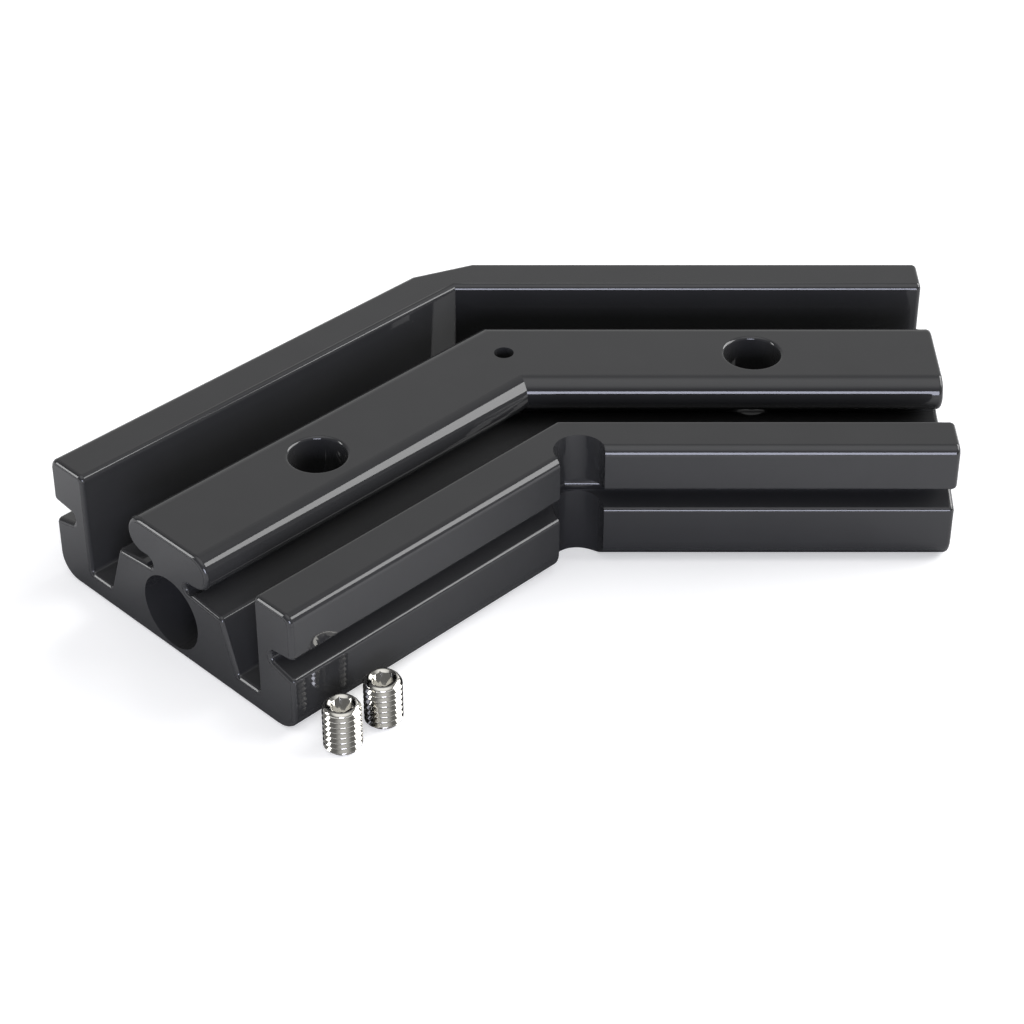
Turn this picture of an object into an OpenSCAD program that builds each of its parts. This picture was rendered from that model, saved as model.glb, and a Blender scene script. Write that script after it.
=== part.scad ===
// Obtuse angle connector for a slotted rail, with its two grub screws.
// Moulded in one piece: two arms of one section, mitred at the bend.
// Frame: +X along the right arm, +Y to the outside of the bend, +Z up.
// The origin is where the two arm centre lines cross, on the underside.

/* [Arms] */
// angle between the two arms, in degrees
bend_angle = 135; // [100:1:170]
// length of each arm, from where the centre lines cross to the end face
arm_len = 72.4; // [50:0.1:120]
// width over the outer walls
body_w = 57.4; // [40:0.1:90]
// height of the outer walls
body_h = 22.5; // [16:0.1:40]
// rounding of the edges round each end face
end_r = 0.7; // [0.2:0.05:0.8]

/* [Base and outer walls] */
// thickness of the base under the channels
base_t = 4; // [2:0.1:8]
// thickness of each outer wall
wall_t = 8.3; // [5:0.1:14]
// rounding of the lower outer corners
base_r = 4.1; // [1:0.1:8]
// rounding of the outer top edges
top_out_r = 1.65; // [0.8:0.05:3]
// rounding of the inner top edges
top_in_r = 1.1; // [0.8:0.1:3]
// small rounding in the bottom corners of the channels
floor_r = 0.5; // [0.3:0.1:1.5]

/* [Side grooves] */
// height of the groove's mouth, lower edge
groove_z = 10.7; // [6:0.1:20]
// height of the groove's mouth, from lip to lip
groove_mouth = 3.7; // [2:0.1:6]
// depth of the groove into the wall
groove_d = 5; // [2:0.1:7]
// how far the lower side of the groove climbs towards its root
groove_rise = 1.2; // [0.2:0.1:2]
// how far the upper side of the groove drops towards its root
groove_drop = 0.6; // [0.2:0.1:2]
// rounding of the groove's root
root_r = 0.85; // [0.4:0.05:1.2]
// rounding of the groove's lower lip
lip_r = 0.8; // [0.3:0.1:2]
// rounding of the groove's upper lip
upper_lip_r = 0.8; // [0.8:0.1:1.5]

/* [Centre rib] */
// half width of the rib where it stands on the base
foot_hw = 15.5; // [12:0.1:22]
// half width of the rib at its shoulders
ledge_hw = 12.4; // [9:0.1:18]
// how far the shoulders' outer edge lies below the head
ledge_gap = 2.4; // [1:0.1:6]
// how far the shoulders climb towards the neck
ledge_rise = 0.8; // [0.2:0.1:2]
// rounding of the shoulder edges
ledge_r = 0.9; // [0.3:0.1:2]
// half width of the neck
neck_hw = 4.1; // [2.5:0.1:8]
// rounding at the foot of the neck
neck_foot_r = 0.5; // [0.2:0.05:1]
// rounding under the head
neck_top_r = 1; // [0.2:0.05:1.5]

/* [T head] */
// width of the head
head_w = 19.2; // [14:0.1:28]
// thickness of the head, its sides are full rounds
head_t = 6.4; // [4:0.1:10]
// how far the head's top lies below the top of the walls
head_drop = 0.5; // [0:0.1:2]

/* [Bores and holes] */
// thickness under the long bore in each arm, which reaches up to the foot of the neck
bore_floor = 1.2; // [0.8:0.1:4]
// how far the long bore runs in past the upright hole
bore_past = 8; // [5:0.5:20]
// diameter of the upright hole through the head of each arm
cross_d = 9.4; // [5:0.1:12]
// distance from the bend to the upright hole
cross_x = 41.5; // [25:0.5:60]
// rounding of the upright hole's rim
cross_rim_r = 0.55; // [0.2:0.05:1]
// diameter of the small hole at the bend
pin_d = 3.3; // [2:0.1:5]
// depth of the small hole
pin_depth = 8; // [4:0.5:15]
// radius of the upright relief cut in the inner corner
relief_r = 4.15; // [2:0.05:7]
// how far the relief's centre lies outside the corner
relief_out = 0.18; // [0:0.01:2]

/* [Grub screws] */
// outer diameter of the thread
screw_d = 6; // [4:1:8]
// length of the grub screw
screw_len = 8; // [5:1:16]
// chamfer at both ends
screw_chamfer = 0.6; // [0.4:0.1:1.5]
// hexagon socket, across flats
socket_af = 3; // [2:0.5:5]
// depth of the socket
socket_depth = 3.5; // [2:0.1:5]
// cone at the bottom of the socket, its height
socket_cone = 0.9; // [0.4:0.1:1.5]
// countersink round the mouth of the socket
socket_mouth = 0.25; // [0.1:0.05:0.5]
// clear distance from the left arm's outer wall to the screws
screw_gap = 3.1; // [1:0.1:20]
// clear distance between the two screws, along the left arm
screw_apart = 2.25; // [1:0.05:20]
// how far the left screw's axis stands inside the arm's end face
screw_back = 3.9; // [0:0.1:30]

/* [Build] */
// piece to draw

/* [Hidden] */
$fn = 48;
// overlap used by cutters
eps = 0.2;
// how far the roundings' cutters bite in, so that they cross a face and never just touch it
slack = 0.005;
bite = 0.02;
// how far a corner's cutter reaches past the corner, as a factor
past = 1.2;
// angle by which the cutter of a rounded corner runs past it
over = 1.5;
turn = 180 - bend_angle;
half_turn = turn / 2;
hw = body_w / 2;
wall_in = hw - wall_t;
head_top = body_h - head_drop;
head_z = head_top - head_t;
head_hw = head_w / 2;
root_hw = hw - groove_d;
groove_top = groove_z + groove_mouth;
ledge_z = head_z - ledge_gap;
neck_foot_z = ledge_z + ledge_rise;
bore_d = neck_foot_z - bore_floor;
bore_z = bore_floor + bore_d / 2;
head_side_r = head_t / 2;
corner_out = hw / cos(half_turn);
reach = arm_len + hw;
bore_depth = arm_len - cross_x + cross_d / 2 + bore_past;
screw_across = hw + screw_gap + screw_d / 2;
screw_along = arm_len - screw_back;
screw_step = screw_d + screw_apart;

// corners of the section's right half, from the underside: across, up, rounding
outer_side = [
  [hw, 0, base_r],
  [hw, groove_z, lip_r],
  [root_hw, groove_z + groove_rise, root_r],
  [root_hw, groove_top - groove_drop, root_r],
  [hw, groove_top, upper_lip_r],
  [hw, body_h, top_out_r]
];
wall_side = [
  [wall_in, base_t, floor_r],
  [wall_in, body_h, top_in_r]
];
rib_side = [
  [foot_hw, base_t, floor_r],
  [ledge_hw, ledge_z, ledge_r],
  [neck_hw, neck_foot_z, neck_foot_r],
  [neck_hw, head_z, neck_top_r],
  [head_hw, head_z, head_side_r],
  [head_hw, head_top, head_side_r]
];
half = concat(outer_side, flip(wall_side), rib_side);
ring = concat(half, mirrored(flip(half)));
n_ring = len(ring);

function flip(list) = [for (i = [len(list) - 1 : -1 : 0]) list[i]];
function mirrored(list) = [for (v = list) [-v[0], v[1], v[2]]];
function at(list, i) = let (v = list[(i + len(list)) % len(list)]) [v[0], v[1]];
function unit(v) = v / norm(v);
function outward(list, i) =
  cross(at(list, i) - at(list, i - 1), at(list, i + 1) - at(list, i)) > 0;
function back(list, i) = unit(at(list, i - 1) - at(list, i));
function ahead(list, i) = unit(at(list, i + 1) - at(list, i));
function corner_angle(list, i) = acos(back(list, i) * ahead(list, i));
function tangent_len(list, i) = list[i % len(list)][2] / tan(corner_angle(list, i) / 2);
function arc_from(list, i) = at(list, i) + back(list, i) * tangent_len(list, i);
function arc_to(list, i) = at(list, i) + ahead(list, i) * tangent_len(list, i);
function arc_mid(list, i) = at(list, i) + unit(back(list, i) + ahead(list, i))
  * list[i % len(list)][2] / sin(corner_angle(list, i) / 2);
function heading(v) = atan2(v[1], v[0]);

// closed outline with rounded corners: outer corners lose the bit outside their
// rounding, inner corners are bridged and then hollowed to theirs
module rounded(list) {
  last = len(list) - 1;
  difference() {
    polygon([for (i = [0 : last]) each
      outward(list, i) || list[i][2] == 0 ? [at(list, i)] : [arc_from(list, i), arc_to(list, i)]]);
    for (i = [0 : last]) if (list[i][2] > 0)
      if (outward(list, i))
        difference() {
          polygon([for (p = [at(list, i), arc_to(list, i), arc_mid(list, i), arc_from(list, i)])
            arc_mid(list, i) + (p - arc_mid(list, i)) * past]);
          translate(arc_mid(list, i)) circle(r = list[i][2] + slack);
        }
      else translate(arc_mid(list, i)) circle(r = list[i][2] + slack);
  }
}

// cutter profile that leaves a rounded edge: body below and left of the origin
module edge_profile(deep) {
  translate([-deep, -deep]) difference() {
    translate([-end_r, -end_r]) square(end_r + eps);
    translate([-end_r, -end_r]) circle(r = end_r);
  }
}

// rounds the end edge along the straight side from corner i to corner i + 1
module end_edge_straight(i) {
  a = arc_to(ring, i);
  b = arc_from(ring, (i + 1) % n_ring);
  span = norm(b - a);
  if (span > 0.02)
    translate([0, a[0], a[1]]) rotate([heading(b - a), 0, 0])
      rotate([90, 0, 90]) rotate([0, 90, 0]) rotate([0, 0, 90])
        mirror([1, 0, 0]) linear_extrude(span) edge_profile(bite);
}

// rounds the end edge along the arc of corner i
module end_edge_arc(i) {
  c = arc_mid(ring, i);
  turned = outward(ring, i);
  from = heading((turned ? arc_from(ring, i) : arc_to(ring, i)) - c);
  translate([0, c[0], c[1]]) rotate([90, 0, 90]) rotate([0, 0, from - over])
    rotate_extrude(angle = 180 - corner_angle(ring, i) + 2 * over)
      translate([ring[i][2], 0]) mirror([turned ? 0 : 1, 0])
        edge_profile(bite * (i % 2 == 0 ? 1.5 : 2));
}

module end_rounding() {
  translate([arm_len, 0, 0]) for (i = [0 : n_ring - 1]) {
    end_edge_straight(i);
    end_edge_arc(i);
  }
}

// an outline run along an arm, far past the bend, to the given length
module run(length) {
  translate([-reach, 0, 0]) rotate([90, 0, 90]) linear_extrude(reach + length) children();
}

// the space beyond the outer side at the bend, as the outside flat cuts it away
module beyond_flat() {
  rotate([90, 0, 90]) translate([0, 0, -reach]) linear_extrude(2 * reach) rounded([
    [wall_in, -1, 0], [hw + reach, -1, 0], [hw + reach, body_h + 1, 0], [wall_in, body_h + 1, 0],
    [wall_in, body_h, 0], [hw, body_h, top_out_r], [hw, 0, base_r], [wall_in, 0, 0]
  ]);
}

// one arm up to the mitre, which here is the plane x = 0
module half_body() {
  difference() {
    rotate([0, 0, -half_turn]) difference() {
      run(arm_len) rounded(ring);
      end_rounding();
      arm_holes();
    }
    beyond_flat();
    translate([-2 * reach, -2 * reach, -1]) cube([2 * reach, 4 * reach, body_h + 2]);
  }
}

// the bore and the upright hole of one arm, with the hole's rounded rim
module arm_holes() {
  translate([arm_len - bore_depth, 0, bore_z]) rotate([0, 90, 0])
    cylinder(h = bore_depth + 1, d = bore_d);
  translate([cross_x, 0, 0]) {
    translate([0, 0, bore_z]) cylinder(h = head_top - bore_z + 1, d = cross_d);
    translate([0, 0, head_top]) rotate_extrude()
      translate([cross_d / 2, 0]) mirror([1, 0]) difference() {
        translate([-cross_rim_r, -cross_rim_r]) square(cross_rim_r + eps);
        translate([-cross_rim_r, -cross_rim_r]) circle(r = cross_rim_r);
      }
  }
}

module connector_body() {
  color([0.27, 0.27, 0.28]) rotate([0, 0, half_turn]) difference() {
    union() {
      half_body();
      mirror([1, 0, 0]) half_body();
    }
    translate([0, 0, head_top - pin_depth]) cylinder(h = pin_depth + 1, d = pin_d);
    translate([0, -corner_out - relief_out, -1]) cylinder(h = body_h + 2, r = relief_r);
  }
}

// headless screw with a hexagon socket, standing on its flat point
module grub_screw() {
  r = screw_d / 2;
  corner_r = socket_af / 2 / cos(30);
  difference() {
    rotate_extrude() polygon([
      [0, 0], [r - screw_chamfer, 0], [r, screw_chamfer], [r, screw_len - screw_chamfer],
      [r - screw_chamfer, screw_len], [0, screw_len]
    ]);
    translate([0, 0, screw_len - socket_depth])
      cylinder(h = socket_depth + 1, r = corner_r, $fn = 6);
    translate([0, 0, screw_len - socket_depth - socket_cone])
      cylinder(h = socket_cone + 0.01, r1 = 0.05, r2 = socket_af / 2);
    translate([0, 0, screw_len - socket_mouth])
      cylinder(h = socket_mouth + eps, r1 = corner_r, r2 = corner_r + socket_mouth + eps);
  }
}

// place n steps along the left arm from its end, in front of the outer wall
module beside_left_arm(n) {
  rotate([0, 0, 180 + turn]) translate([screw_along - n * screw_step, screw_across, 0])
    children();
}

module left_grub_screw() {
  color([0.75, 0.75, 0.73]) beside_left_arm(0) grub_screw();
}

module right_grub_screw() {
  color([0.75, 0.75, 0.73]) beside_left_arm(1) grub_screw();
}

connector_body();
left_grub_screw();
right_grub_screw();
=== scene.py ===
import math

import bmesh
import bpy
import numpy as np
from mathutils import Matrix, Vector


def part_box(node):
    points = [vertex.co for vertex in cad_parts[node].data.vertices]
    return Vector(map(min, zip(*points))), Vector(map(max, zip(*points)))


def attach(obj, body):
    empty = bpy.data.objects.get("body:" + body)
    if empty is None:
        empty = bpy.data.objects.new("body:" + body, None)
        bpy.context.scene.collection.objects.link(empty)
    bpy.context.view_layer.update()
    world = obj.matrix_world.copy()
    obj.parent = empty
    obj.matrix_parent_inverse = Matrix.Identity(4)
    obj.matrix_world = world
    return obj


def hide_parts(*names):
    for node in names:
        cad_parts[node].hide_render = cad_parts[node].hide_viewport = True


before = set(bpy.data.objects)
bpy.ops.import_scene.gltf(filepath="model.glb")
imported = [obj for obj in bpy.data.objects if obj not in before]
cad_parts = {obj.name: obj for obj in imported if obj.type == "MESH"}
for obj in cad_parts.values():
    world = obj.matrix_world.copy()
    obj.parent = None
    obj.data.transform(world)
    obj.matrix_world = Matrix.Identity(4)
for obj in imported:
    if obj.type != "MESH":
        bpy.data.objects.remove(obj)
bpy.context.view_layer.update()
scene = bpy.context.scene
print("frame loaded")


# a copy of a CAD node's mesh, which the drawn piece starts from
def nodeCopy(node, name):
    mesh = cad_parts[node].data.copy()
    mesh.name = name
    obj = bpy.data.objects.new(name, mesh)
    scene.collection.objects.link(obj)
    return obj


def dress(obj, mat):
    obj.data.materials.clear()
    obj.data.materials.append(mat)
    obj.data.polygons.foreach_set("material_index", [0] * len(obj.data.polygons))


# how CAD faces are told apart, in metres and degrees
faceRule = {
    "flatDeg": 0.4,  # a face that turns less than this is flat
    "linesTried": 16,
    "shortestLine": 1e-9,
    "leastR": 1e-5,
    "mostR": 0.1,
    "roundWithin": 1e-6,  # spread of radius that still counts as a cylinder
    "leastArea": 1e-16,
    "spotDigits": 8,  # corners that agree to this many decimals are one spot
}


# triangles that share vertices belong to one CAD face
def faceGroups(mesh):
    root = np.arange(len(mesh.vertices))
    tris = np.array([p.vertices[:] for p in mesh.polygons])

    def find(a):
        while root[a] != a:
            root[a] = root[root[a]]
            a = root[a]
        return a

    for t in tris:
        a, b, c = (find(v) for v in t)
        root[a] = root[b] = root[c] = min(a, b, c)
    return np.array([find(t[0]) for t in tris]), tris


# normals at a face's corners where they all lie on one cylinder, or None
def cylinderNormals(points, tris, unit):
    sides = (points[tris[:, [1, 2, 0]]] - points[tris]).reshape(-1, 3)
    length = np.linalg.norm(sides, axis=1)
    corners = np.unique(tris)
    for i in np.argsort(-length)[:faceRule["linesTried"]]:  # its straight lines are long sides
        if length[i] < faceRule["shortestLine"]:
            break
        across = np.linalg.svd(sides[i][None] / length[i])[2][1:]
        flat = points[corners] @ across.T
        system = np.c_[2 * flat, np.ones(len(flat))]
        centre = np.linalg.lstsq(system, (flat ** 2).sum(1), rcond=None)[0][:2]
        radius = np.linalg.norm(flat - centre, axis=1)
        tooFar = radius.max() > faceRule["mostR"] or radius.min() < faceRule["leastR"]
        if tooFar or np.ptp(radius) > faceRule["roundWithin"]:
            continue
        normal = np.zeros((len(points), 3))
        normal[corners] = ((flat - centre) / radius[:, None]) @ across
        facing = (normal[tris].mean(1) * unit).sum()
        return normal * (1 if facing > 0 else -1)
    return None


# flat and cylindrical CAD faces keep their own normals, other round ones blend into them
def smoothNormals(obj, creaseDeg):
    mesh = obj.data
    co = np.zeros(len(mesh.vertices) * 3)
    mesh.vertices.foreach_get("co", co)
    co = co.reshape(-1, 3)
    group, tris = faceGroups(mesh)
    cross = np.cross(co[tris[:, 1]] - co[tris[:, 0]], co[tris[:, 2]] - co[tris[:, 0]])
    area = np.linalg.norm(cross, axis=1)
    keep = area > faceRule["leastArea"]
    unit = cross / np.maximum(area, 1e-20)[:, None]
    exact = np.zeros((len(co), 3))  # known normal of each corner, zero where there is none
    for g in np.unique(group):
        sel = (group == g) & keep
        if not sel.any():
            continue
        mean = cross[sel].sum(0)
        mean /= max(np.linalg.norm(mean), 1e-20)
        if (unit[sel] @ mean).min() > math.cos(math.radians(faceRule["flatDeg"])):
            exact[np.unique(tris[sel])] = mean
            continue
        own = cylinderNormals(co, tris[sel], unit[sel])
        if own is not None:
            exact += own
    _, spot = np.unique(np.round(co, faceRule["spotDigits"]), axis=0, return_inverse=True)
    spot = spot.reshape(-1)
    sums = np.zeros((len(co), 3))  # weighted by corner angle, for the other faces
    for t in np.nonzero(keep)[0]:
        p = co[tris[t]]
        for k in range(3):
            a, b = p[(k + 1) % 3] - p[k], p[(k + 2) % 3] - p[k]
            la, lb = np.linalg.norm(a), np.linalg.norm(b)
            if la > 1e-12 and lb > 1e-12:
                cosine = max(-1.0, min(1.0, float(a @ b) / (la * lb)))
                sums[tris[t][k]] += unit[t] * math.acos(cosine)
    bySpot = {}
    for v in np.unique(tris):
        bySpot.setdefault(spot[v], []).append(v)
    limit = math.cos(math.radians(creaseDeg))
    corner = exact.copy()
    for v in np.unique(tris):
        size = np.linalg.norm(sums[v])
        if exact[v].any() or size < 1e-12:
            continue
        own = sums[v] / size
        near = [w for w in bySpot[spot[v]] if sums[w] @ own > limit * np.linalg.norm(sums[w])]
        known = [exact[w] for w in near if exact[w].any()]
        blend = sum(known) if known else sum(sums[w] for w in near)
        corner[v] = blend / max(np.linalg.norm(blend), 1e-12)
    normals = corner[tris].reshape(-1, 3)
    bm = bmesh.new()
    bm.from_mesh(mesh)
    layer = bm.loops.layers.float_vector.new("cadNormal")
    bm.faces.ensure_lookup_table()
    for f in bm.faces:
        for k, loop in enumerate(f.loops):
            loop[layer] = normals[3 * f.index + k]
    bmesh.ops.remove_doubles(bm, verts=bm.verts, dist=10.0 ** -faceRule["spotDigits"])
    bm.to_mesh(mesh)
    bm.free()
    data = np.zeros(len(mesh.loops) * 3)
    mesh.attributes["cadNormal"].data.foreach_get("vector", data)
    mesh.shade_smooth()
    mesh.normals_split_custom_set(data.reshape(-1, 3).tolist())
    mesh.attributes.remove(mesh.attributes["cadNormal"])


# the skin that every surface shares
skin = {
    "maskShare": 0.05,  # scale of the broad noise over that of the fine one
    "detail": 3.0,
    "bumpStrength": 0.15,
}


# shader group: a broad mask and a fine height, both from noise in object coordinates
def variationGroup():
    tree = bpy.data.node_groups.new("surfaceVariation", "ShaderNodeTree")
    ways = (("Scale", "INPUT"), ("Detail", "INPUT"), ("Mask", "OUTPUT"), ("Height", "OUTPUT"))
    for name, way in ways:
        tree.interface.new_socket(name=name, in_out=way, socket_type="NodeSocketFloat")
    n, l = tree.nodes, tree.links
    given, out = n.new("NodeGroupInput"), n.new("NodeGroupOutput")
    coord = n.new("ShaderNodeTexCoord")
    broad, fine = n.new("ShaderNodeTexNoise"), n.new("ShaderNodeTexNoise")
    scale = n.new("ShaderNodeMath")
    scale.operation = "MULTIPLY"
    scale.inputs[1].default_value = skin["maskShare"]
    l.new(given.outputs["Scale"], scale.inputs[0])
    l.new(coord.outputs["Object"], broad.inputs["Vector"])
    l.new(coord.outputs["Object"], fine.inputs["Vector"])
    l.new(scale.outputs[0], broad.inputs["Scale"])
    l.new(given.outputs["Scale"], fine.inputs["Scale"])
    l.new(given.outputs["Detail"], fine.inputs["Detail"])
    l.new(broad.outputs["Fac"], out.inputs["Mask"])
    l.new(fine.outputs["Fac"], out.inputs["Height"])
    return tree


def surface(name, group, look):
    mat = bpy.data.materials.new(name)
    mat.use_nodes = True
    n, l = mat.node_tree.nodes, mat.node_tree.links
    bsdf = n["Principled BSDF"]
    bsdf.inputs["Metallic"].default_value = look["metallic"]
    bsdf.inputs["IOR"].default_value = look["ior"]
    vary = n.new("ShaderNodeGroup")
    vary.node_tree = group
    vary.inputs["Scale"].default_value = look["grain"]
    vary.inputs["Detail"].default_value = skin["detail"]
    tone = n.new("ShaderNodeMix")
    tone.data_type = "RGBA"
    for socket, share in (("A", 1 - look["shadeVary"]), ("B", 1 + look["shadeVary"])):
        tone.inputs[socket].default_value = (*[c * share for c in look["shade"]], 1)
    l.new(vary.outputs["Mask"], tone.inputs["Factor"])
    l.new(tone.outputs["Result"], bsdf.inputs["Base Color"])
    rough = n.new("ShaderNodeMapRange")
    rough.inputs["To Min"].default_value = look["roughness"] - look["roughVary"]
    rough.inputs["To Max"].default_value = look["roughness"] + look["roughVary"]
    l.new(vary.outputs["Mask"], rough.inputs["Value"])
    l.new(rough.outputs["Result"], bsdf.inputs["Roughness"])
    bump = n.new("ShaderNodeBump")
    bump.inputs["Strength"].default_value = skin["bumpStrength"]
    bump.inputs["Distance"].default_value = look["bump"]
    l.new(vary.outputs["Height"], bump.inputs["Height"])
    l.new(bump.outputs["Normal"], bsdf.inputs["Normal"])
    return mat


variation = variationGroup()

# the moulded connector
bodyLook = {
    "node": "connector_body",
    "shade": (0.0296, 0.0298, 0.0305),
    "shadeVary": 0.08,
    "metallic": 0.0,
    "ior": 1.5,
    "roughness": 0.042,
    "roughVary": 0.01,
    "grain": 2600.0,  # bumps of the moulding skin, per metre
    "bump": 0.000006,
    "creaseDeg": 32.0,
}
bodyMat = surface("darkGlossPlastic", variation, bodyLook)
body = nodeCopy(bodyLook["node"], "connectorBody")
smoothNormals(body, bodyLook["creaseDeg"])
dress(body, bodyMat)
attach(body, "root")
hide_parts(bodyLook["node"])
print("connector body smoothed")

# the two grub screws, whose thread is a helix of this pitch cut into the CAD shank
screwLook = {
    "nodes": {"left": "left_grub_screw", "right": "right_grub_screw"},
    "pitch": 0.001,
    "rootR": 0.00255,
    "crestR": 0.00301,
    "crest": 0.06,  # share of the pitch that is left flat at the crest
    "aroundSteps": 72,
    "stepsPerTurn": 24,
    "extraTurns": 2,
    "weld": 1e-7,
    "shade": (0.68, 0.665, 0.62),
    "shadeVary": 0.05,
    "metallic": 1.0,
    "ior": 1.5,
    "roughness": 0.09,
    "roughVary": 0.02,
    "grain": 4000.0,
    "bump": 0.000004,
    "creaseDeg": 40.0,
}


# Geometry Nodes tree that rolls a flat grid up into a threaded rod's surface
def threadTree(mat, weldDistance):
    tree = bpy.data.node_groups.new("threadHelix", "GeometryNodeTree")
    kinds = {"Pitch": "Float", "Root Radius": "Float", "Crest Radius": "Float", "Crest Share": "Float",
             "Turns": "Int", "Steps Around": "Int", "Steps per Turn": "Int"}
    tree.interface.new_socket(name="Geometry", in_out="INPUT", socket_type="NodeSocketGeometry")
    for name, kind in kinds.items():
        tree.interface.new_socket(name=name, in_out="INPUT", socket_type="NodeSocket" + kind)
    tree.interface.new_socket(name="Geometry", in_out="OUTPUT", socket_type="NodeSocketGeometry")
    n, l = tree.nodes, tree.links
    given, out = n.new("NodeGroupInput"), n.new("NodeGroupOutput")

    def calc(operation, *values, clamp=False):
        node = n.new("ShaderNodeMath")
        node.operation = operation
        node.use_clamp = clamp
        for socket, value in zip(node.inputs, values):
            if isinstance(value, bpy.types.NodeSocket):
                l.new(value, socket)
            else:
                socket.default_value = value
        return node.outputs[0]

    grid = n.new("GeometryNodeMeshGrid")
    grid.inputs["Size X"].default_value = 1.0
    l.new(given.outputs["Turns"], grid.inputs["Size Y"])
    l.new(calc("ADD", given.outputs["Steps Around"], 1.0), grid.inputs["Vertices X"])
    rows = calc("MULTIPLY", given.outputs["Turns"], given.outputs["Steps per Turn"])
    l.new(calc("ADD", rows, 1.0), grid.inputs["Vertices Y"])
    place, split = n.new("GeometryNodeInputPosition"), n.new("ShaderNodeSeparateXYZ")
    l.new(place.outputs[0], split.inputs[0])
    around = calc("ADD", split.outputs["X"], 0.5)
    along = calc("ADD", split.outputs["Y"], calc("MULTIPLY", given.outputs["Turns"], 0.5))
    angle = calc("MULTIPLY", around, 2 * math.pi)
    nudge = 0.0001  # keeps whole turns on one side of the jump
    phase = calc("FRACT", calc("ADD", along, nudge))
    fromRoot = calc("ABSOLUTE", calc("SUBTRACT", phase, 0.5))
    ramp = calc("MULTIPLY", fromRoot, 2.0)  # 1 at the crest, 0 at the root
    scaled = calc("DIVIDE", ramp, calc("SUBTRACT", 1.0, given.outputs["Crest Share"]), clamp=True)
    depth = calc("SUBTRACT", given.outputs["Crest Radius"], given.outputs["Root Radius"])
    radius = calc("ADD", given.outputs["Root Radius"], calc("MULTIPLY", depth, scaled))
    height = calc("MULTIPLY", calc("ADD", along, around), given.outputs["Pitch"])
    spot = n.new("ShaderNodeCombineXYZ")
    l.new(calc("MULTIPLY", radius, calc("COSINE", angle)), spot.inputs["X"])
    l.new(calc("MULTIPLY", radius, calc("SINE", angle)), spot.inputs["Y"])
    l.new(height, spot.inputs["Z"])
    roll = n.new("GeometryNodeSetPosition")
    l.new(grid.outputs["Mesh"], roll.inputs["Geometry"])
    l.new(spot.outputs[0], roll.inputs["Position"])
    weld = n.new("GeometryNodeMergeByDistance")
    weld.inputs["Distance"].default_value = weldDistance
    l.new(roll.outputs["Geometry"], weld.inputs["Geometry"])
    real, paint = n.new("GeometryNodeRealizeInstances"), n.new("GeometryNodeSetMaterial")
    paint.inputs["Material"].default_value = mat
    l.new(weld.outputs["Geometry"], real.inputs["Geometry"])
    l.new(real.outputs["Geometry"], paint.inputs["Geometry"])
    l.new(paint.outputs["Geometry"], out.inputs["Geometry"])
    return tree


def bakedMesh(obj):
    return bpy.data.meshes.new_from_object(obj.evaluated_get(bpy.context.evaluated_depsgraph_get()))


# a closed threaded rod that runs past both ends of a screw
def threadedRod(name, tree, look, low, high):
    turns = int(math.ceil((high.z - low.z) / look["pitch"])) + 2 * look["extraTurns"]
    sizes = {"Pitch": look["pitch"], "Root Radius": look["rootR"], "Crest Radius": look["crestR"],
             "Crest Share": look["crest"], "Turns": turns,
             "Steps Around": look["aroundSteps"], "Steps per Turn": look["stepsPerTurn"]}
    host = bpy.data.objects.new(name + "Host", bpy.data.meshes.new(name + "Host"))
    scene.collection.objects.link(host)
    mod = host.modifiers.new("thread", "NODES")
    mod.node_group = tree
    for item in tree.interface.items_tree:
        if item.in_out == "INPUT" and item.name in sizes:
            mod[item.identifier] = sizes[item.name]
    mesh = bakedMesh(host)
    bpy.data.objects.remove(host)
    below = look["extraTurns"] * look["pitch"]
    start = Vector(((low.x + high.x) / 2, (low.y + high.y) / 2, low.z - below))
    bm = bmesh.new()
    bm.from_mesh(mesh)
    bmesh.ops.translate(bm, verts=bm.verts, vec=start)
    ends = bmesh.ops.holes_fill(bm, edges=[e for e in bm.edges if e.is_boundary])
    bmesh.ops.poke(bm, faces=ends["faces"])  # a fan, because one large face would cross the rod's side
    bmesh.ops.recalc_face_normals(bm, faces=bm.faces)
    bm.to_mesh(mesh)
    bm.free()
    rod = bpy.data.objects.new(name, mesh)
    scene.collection.objects.link(rod)
    return rod


# keeps of a screw only what lies inside the threaded rod
def cutThread(obj, rod, weldDistance):
    bm = bmesh.new()
    bm.from_mesh(obj.data)
    bmesh.ops.remove_doubles(bm, verts=bm.verts, dist=weldDistance)
    bm.to_mesh(obj.data)
    bm.free()
    mod = obj.modifiers.new("thread", "BOOLEAN")
    mod.operation = "INTERSECT"
    mod.solver = "EXACT"
    mod.object = rod
    mesh = bakedMesh(obj)
    obj.modifiers.clear()
    obj.data = mesh
    bpy.data.objects.remove(rod)


screwMat = surface("brightPlatedSteel", variation, screwLook)
helix = threadTree(screwMat, screwLook["weld"])
for side, node in screwLook["nodes"].items():
    low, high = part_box(node)
    screw = nodeCopy(node, side + "GrubScrew")
    rod = threadedRod(side + "Rod", helix, screwLook, low, high)
    cutThread(screw, rod, screwLook["weld"])
    screw.data.shade_smooth()
    screw.data.set_sharp_from_angle(angle=math.radians(screwLook["creaseDeg"]))
    dress(screw, screwMat)
    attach(screw, "root")
    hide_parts(node)
    print(side, "grub screw threaded,", len(screw.data.polygons), "faces")

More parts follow.
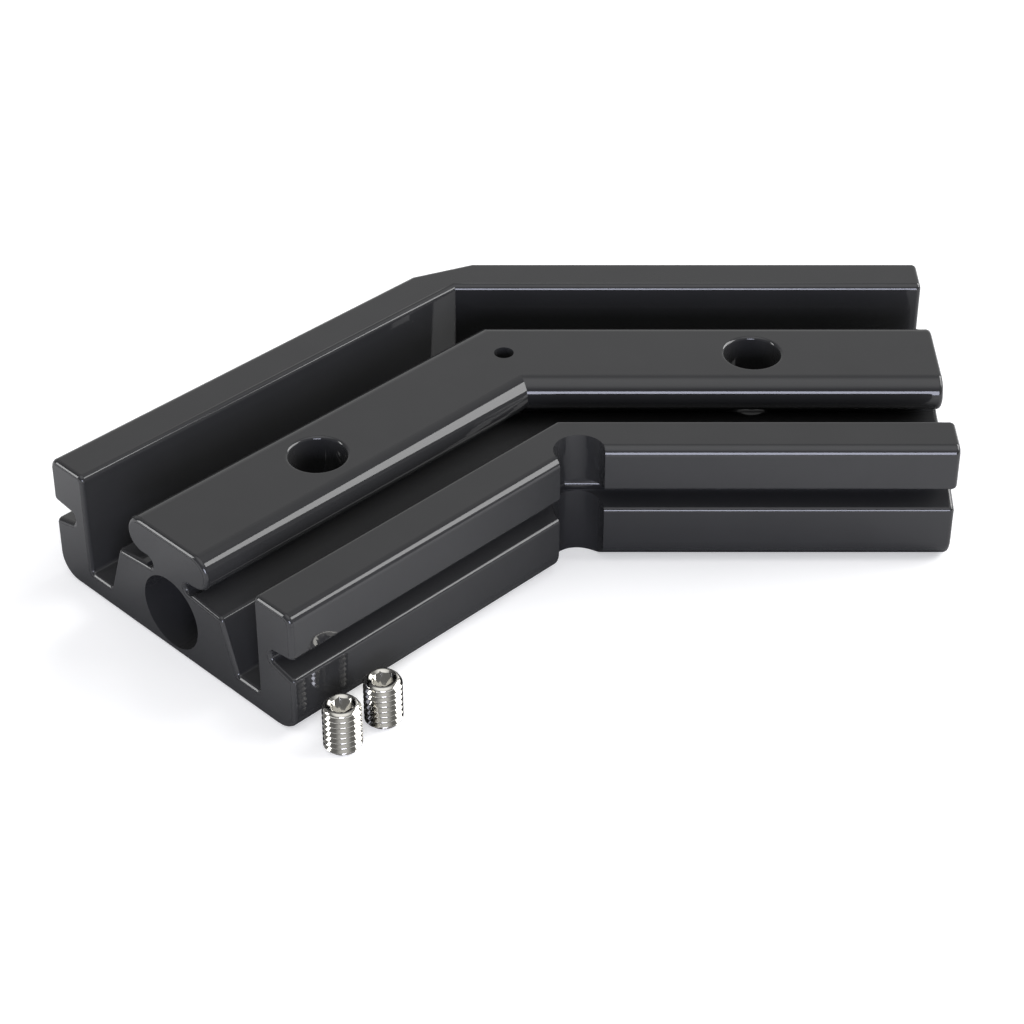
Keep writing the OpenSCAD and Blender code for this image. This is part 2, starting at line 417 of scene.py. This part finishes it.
# white floor, which keeps the object's shadow: seen directly it glows a little, to read as white; seen
# in the object's gloss its colour is painted brighter and carries painted shade that darkens towards
# the object
floorLook = {
    "half": 3.0,
    "shade": (0.76, 0.76, 0.76),
    "roughness": 0.9,
    # mirrored: floor colour seen in the object's gloss, a painted reflection brightness; contact,
    # contactPower and contactSamples shape the painted shade that darkens it towards the object
    "mirrored": 0.93,
    "glow": 0.43,
    "contact": 0.05,
    "contactPower": 2.0,
    "contactSamples": 8,
}
h = floorLook["half"]
floorMesh = bpy.data.meshes.new("floor")
floorMesh.from_pydata([(-h, -h, 0), (h, -h, 0), (h, h, 0), (-h, h, 0)], [], [(0, 1, 2, 3)])
floor = bpy.data.objects.new("floor", floorMesh)
scene.collection.objects.link(floor)
floorMat = bpy.data.materials.new("palePaper")
floorMat.use_nodes = True
fn, fl = floorMat.node_tree.nodes, floorMat.node_tree.links
paper = fn["Principled BSDF"]
paper.inputs["Roughness"].default_value = floorLook["roughness"]
paper.inputs["Specular IOR Level"].default_value = 0.0
rays = fn.new("ShaderNodeLightPath")
tone = fn.new("ShaderNodeMix")
tone.data_type = "RGBA"
tone.inputs["A"].default_value = (*floorLook["shade"], 1)
# painted shade: ambient occlusion darkens the floor's colour in the object's gloss towards the object,
# standing in for its shadow there
paintedContactShade = fn.new("ShaderNodeAmbientOcclusion")  # in the object's gloss the floor darkens towards it
paintedContactShade.inputs["Distance"].default_value = floorLook["contact"]
paintedContactShade.samples = floorLook["contactSamples"]
paintedShadeCurve = fn.new("ShaderNodeMath")
paintedShadeCurve.operation = "POWER"
paintedShadeCurve.inputs[1].default_value = floorLook["contactPower"]
paintedGlossFloorTone = fn.new("ShaderNodeMath")
paintedGlossFloorTone.operation = "MULTIPLY"
paintedGlossFloorTone.inputs[1].default_value = floorLook["mirrored"]
fl.new(paintedContactShade.outputs["AO"], paintedShadeCurve.inputs[0])
fl.new(paintedShadeCurve.outputs[0], paintedGlossFloorTone.inputs[0])
fl.new(paintedGlossFloorTone.outputs[0], tone.inputs["B"])
# glossy rays see the painted reflection tone with its painted shade, all other rays the plain floor
# colour
fl.new(rays.outputs["Is Glossy Ray"], tone.inputs["Factor"])
fl.new(tone.outputs["Result"], paper.inputs["Base Color"])
glow = fn.new("ShaderNodeMath")
glow.operation = "MULTIPLY"
glow.inputs[1].default_value = floorLook["glow"]
fl.new(rays.outputs["Is Camera Ray"], glow.inputs[0])
paper.inputs["Emission Color"].default_value = (1, 1, 1, 1)
fl.new(glow.outputs[0], paper.inputs["Emission Strength"])
dress(floor, floorMat)

# studio sky: dim towards the camera, brighter on the far side and overhead, white where it is seen
skyLook = {
    "near": 0.16,
    "far": 0.62,
    "fromY": 0.3,
    "overhead": 1.05,
    "highFrom": 0.73,
    "leanDeg": 12,
    "seen": 1.0,
}
world = bpy.data.worlds.new("studio")
scene.world = world
world.use_nodes = True
wn, wl = world.node_tree.nodes, world.node_tree.links
back = wn["Background"]
back.inputs["Color"].default_value = (1, 1, 1, 1)
coord, split = wn.new("ShaderNodeTexCoord"), wn.new("ShaderNodeSeparateXYZ")
wl.new(coord.outputs["Generated"], split.inputs[0])
fade = wn.new("ShaderNodeMapRange")
fade.inputs["From Min"].default_value = skyLook["fromY"]
fade.inputs["To Min"].default_value = skyLook["near"]
fade.inputs["To Max"].default_value = skyLook["far"]
wl.new(split.outputs["Y"], fade.inputs["Value"])
high = wn.new("ShaderNodeVectorMath")  # 1 straight up, once leaned towards the camera
high.operation = "DOT_PRODUCT"
lean = math.radians(skyLook["leanDeg"])
high.inputs[1].default_value = (0, -math.sin(lean), math.cos(lean))
wl.new(coord.outputs["Generated"], high.inputs[0])
top = wn.new("ShaderNodeMapRange")
top.interpolation_type = "SMOOTHSTEP"
top.inputs["From Min"].default_value = skyLook["highFrom"]
top.inputs["To Max"].default_value = skyLook["overhead"]
wl.new(high.outputs["Value"], top.inputs["Value"])
both = wn.new("ShaderNodeMath")
wl.new(fade.outputs["Result"], both.inputs[0])
wl.new(top.outputs["Result"], both.inputs[1])
rays = wn.new("ShaderNodeLightPath")
mix = wn.new("ShaderNodeMix")
mix.inputs["B"].default_value = skyLook["seen"]
wl.new(both.outputs[0], mix.inputs["A"])
wl.new(rays.outputs["Is Camera Ray"], mix.inputs["Factor"])
wl.new(mix.outputs["Result"], back.inputs["Strength"])
print("floor and sky made")


# a flat softbox aimed at the object: heading from -Y towards +X, elevation, distance
def softbox(name, look):
    heading, rise = math.radians(look["heading"]), math.radians(look["elevation"])
    flat = math.cos(rise)
    way = Vector((math.sin(heading) * flat, -math.cos(heading) * flat, math.sin(rise)))
    lamp = bpy.data.lights.new(name, "AREA")
    lamp.shape = "RECTANGLE"
    lamp.size, lamp.size_y = look["size"]
    lamp.energy = look["radiance"] * math.pi * lamp.size * lamp.size_y
    lamp.color = look["tint"]
    obj = bpy.data.objects.new(name, lamp)
    obj.rotation_mode = "QUATERNION"
    obj.rotation_quaternion = (-way).to_track_quat("-Z", "Y")
    obj.location = way * look["distance"]
    scene.collection.objects.link(obj)


lampLook = {
    "frontBox": {"heading": 4, "elevation": 14, "distance": 2.1,
                 "size": (0.95, 0.82), "radiance": 10.4, "tint": (0.80, 0.82, 1.0)},
    "rightBox": {"heading": 109, "elevation": 33.5, "distance": 2.5,
                 "size": (2.45, 1.58), "radiance": 6.1, "tint": (1.0, 1.0, 1.0)},
    "leftBox": {"heading": -87, "elevation": 19.5, "distance": 2.2,
                "size": (0.5, 1.45), "radiance": 6.6, "tint": (1.0, 1.0, 1.0)},
}
for name, look in lampLook.items():
    softbox(name, look)

# camera fitted to the photo, in the photo's pixels
view = {
    "framePx": 1024,
    "focalPx": 2617.5,
    "axisPx": (507.43, 412.54),
    "sensor": 36.0,
    "place": (0.00060, -0.36647, 0.26083),
    "pitchDown": 34.402,
}
lens = bpy.data.cameras.new("camera")
lens.sensor_width = view["sensor"]
lens.lens = view["focalPx"] / view["framePx"] * view["sensor"]
lens.shift_x = 0.5 - view["axisPx"][0] / view["framePx"]
lens.shift_y = view["axisPx"][1] / view["framePx"] - 0.5
lens.clip_start, lens.clip_end = 0.01, 20
lens.dof.use_dof = False
camera = bpy.data.objects.new("camera", lens)
camera.location = view["place"]
camera.rotation_euler = (math.radians(90 - view["pitchDown"]), 0, 0)
scene.collection.objects.link(camera)
scene.camera = camera
scene.view_settings.view_transform = "Standard"

print("scene ready")
